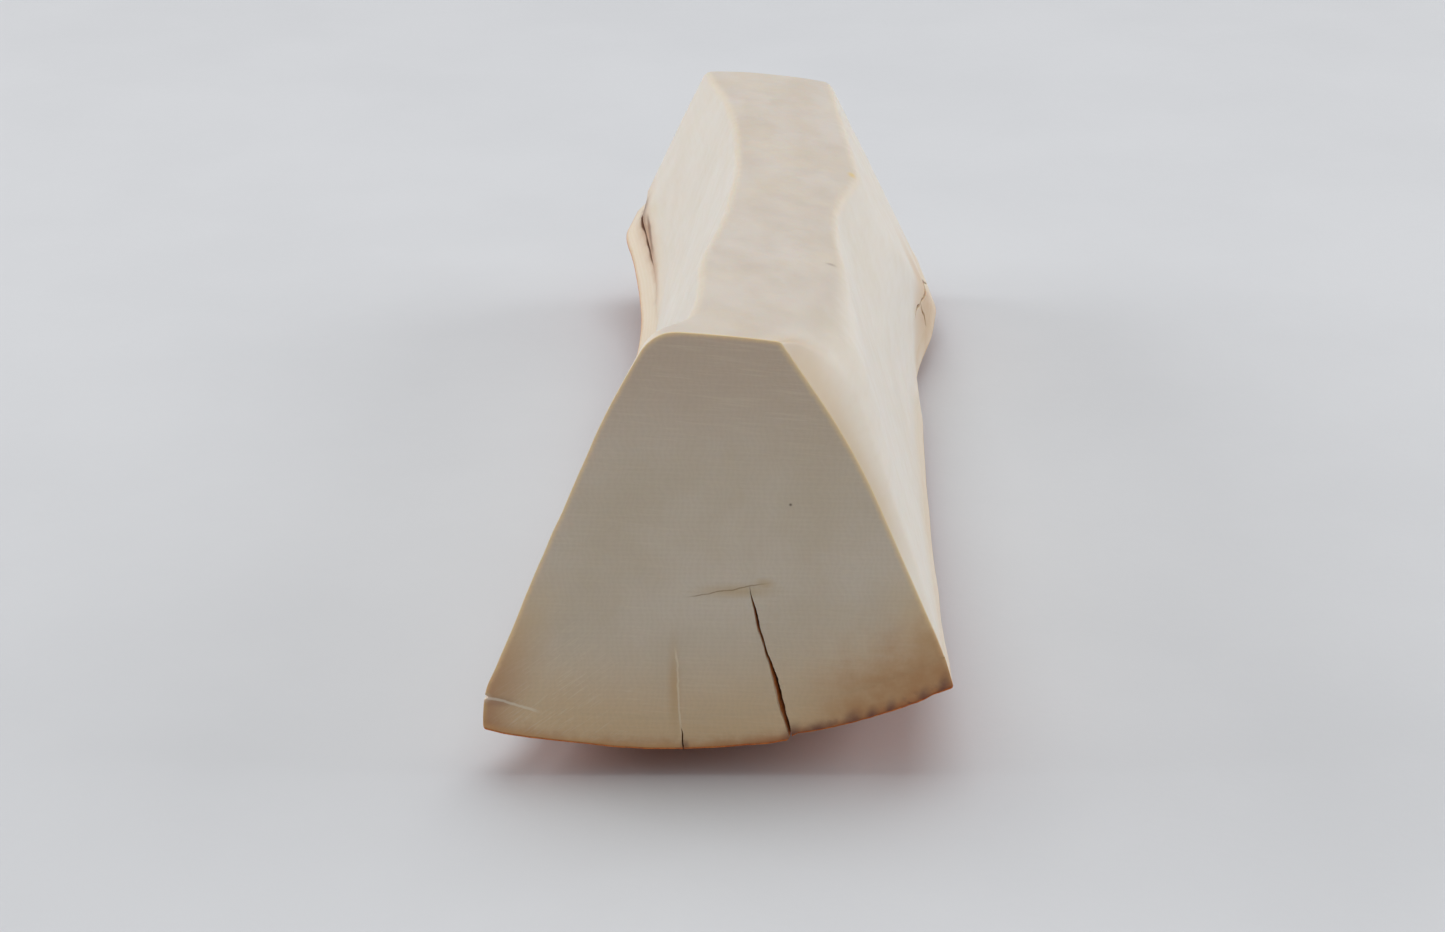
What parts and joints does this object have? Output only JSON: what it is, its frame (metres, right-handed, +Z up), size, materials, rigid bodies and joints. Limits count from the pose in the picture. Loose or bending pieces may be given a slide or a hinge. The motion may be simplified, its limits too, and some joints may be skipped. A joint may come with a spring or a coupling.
{
  "type": "bone folder",
  "caption": "Solid carved wedge-section bone folder for creasing paper, waisted along its length, with natural tusk bark left on its rounded underside.",
  "frame": {"origin": "under the middle of the bounding box, at the height of the lowest point of the rounded underside, which is what the part lies on", "axes": "+Y runs along the length from the larger sawn end (facing -Y) to the smaller sawn end (facing +Y), +Z is up with the rounded bark side down, +X is to the right when facing along +Y"},
  "size_m": [0.0622, 0.1608, 0.0562],
  "materials": {
    "dentine": "satin",
    "bark": "matte"
  },
  "bodies": {
    "root": {"dentine_body": "dentine", "cementum_bark": "bark"}
  },
  "joints": []
}
